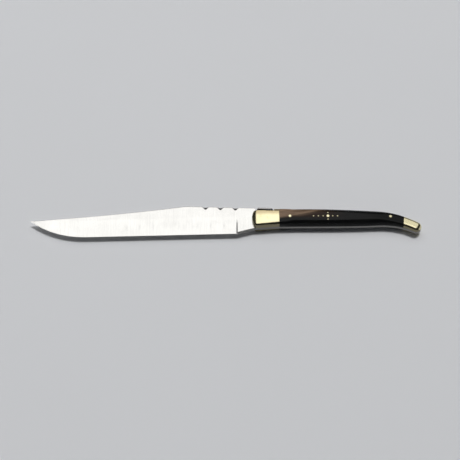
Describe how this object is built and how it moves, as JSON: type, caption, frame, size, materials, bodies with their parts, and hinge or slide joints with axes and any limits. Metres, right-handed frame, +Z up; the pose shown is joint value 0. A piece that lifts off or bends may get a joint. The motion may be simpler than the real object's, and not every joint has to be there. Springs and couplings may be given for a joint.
{
  "type": "ham knife",
  "caption": "Fixed-blade ham knife: long humped steel blade with shallow hollows, curved full-tang handle of dark horn between brass bolsters and butt caps, raised ornament on its back.",
  "frame": {"origin": "middle of the bottom of the knife's box, on the plane that the handle's right side lies on", "axes": "+X from the blade's tip to the butt, +Y from the cutting edge to the spine, +Z up through the left side"},
  "size_m": [0.3104, 0.0272, 0.012],
  "materials": {
    "steel": "fine satin, almost polished",
    "brass": "polished",
    "horn": "polished horn, streaked dark brown by the bolsters and black behind"
  },
  "bodies": {
    "root": {"blade": "steel", "front_bolster_left": "brass", "front_bolster_right": "brass", "scale_left": "horn", "scale_right": "horn", "butt_cap_left": "brass", "butt_cap_right": "brass", "bolster_pin_front": "brass", "bolster_pin_rear": "brass", "scale_pin_front": "brass", "scale_pin_centre": "brass", "scale_pin_rear": "brass", "butt_pin": "brass", "cross_pin_fore_1": "brass", "cross_pin_fore_2": "brass", "cross_pin_fore_3": "brass", "cross_pin_rear_1": "brass", "cross_pin_rear_2": "brass", "cross_pin_back": "brass", "cross_pin_belly": "brass", "back_ornament": "steel"}
  },
  "joints": []
}
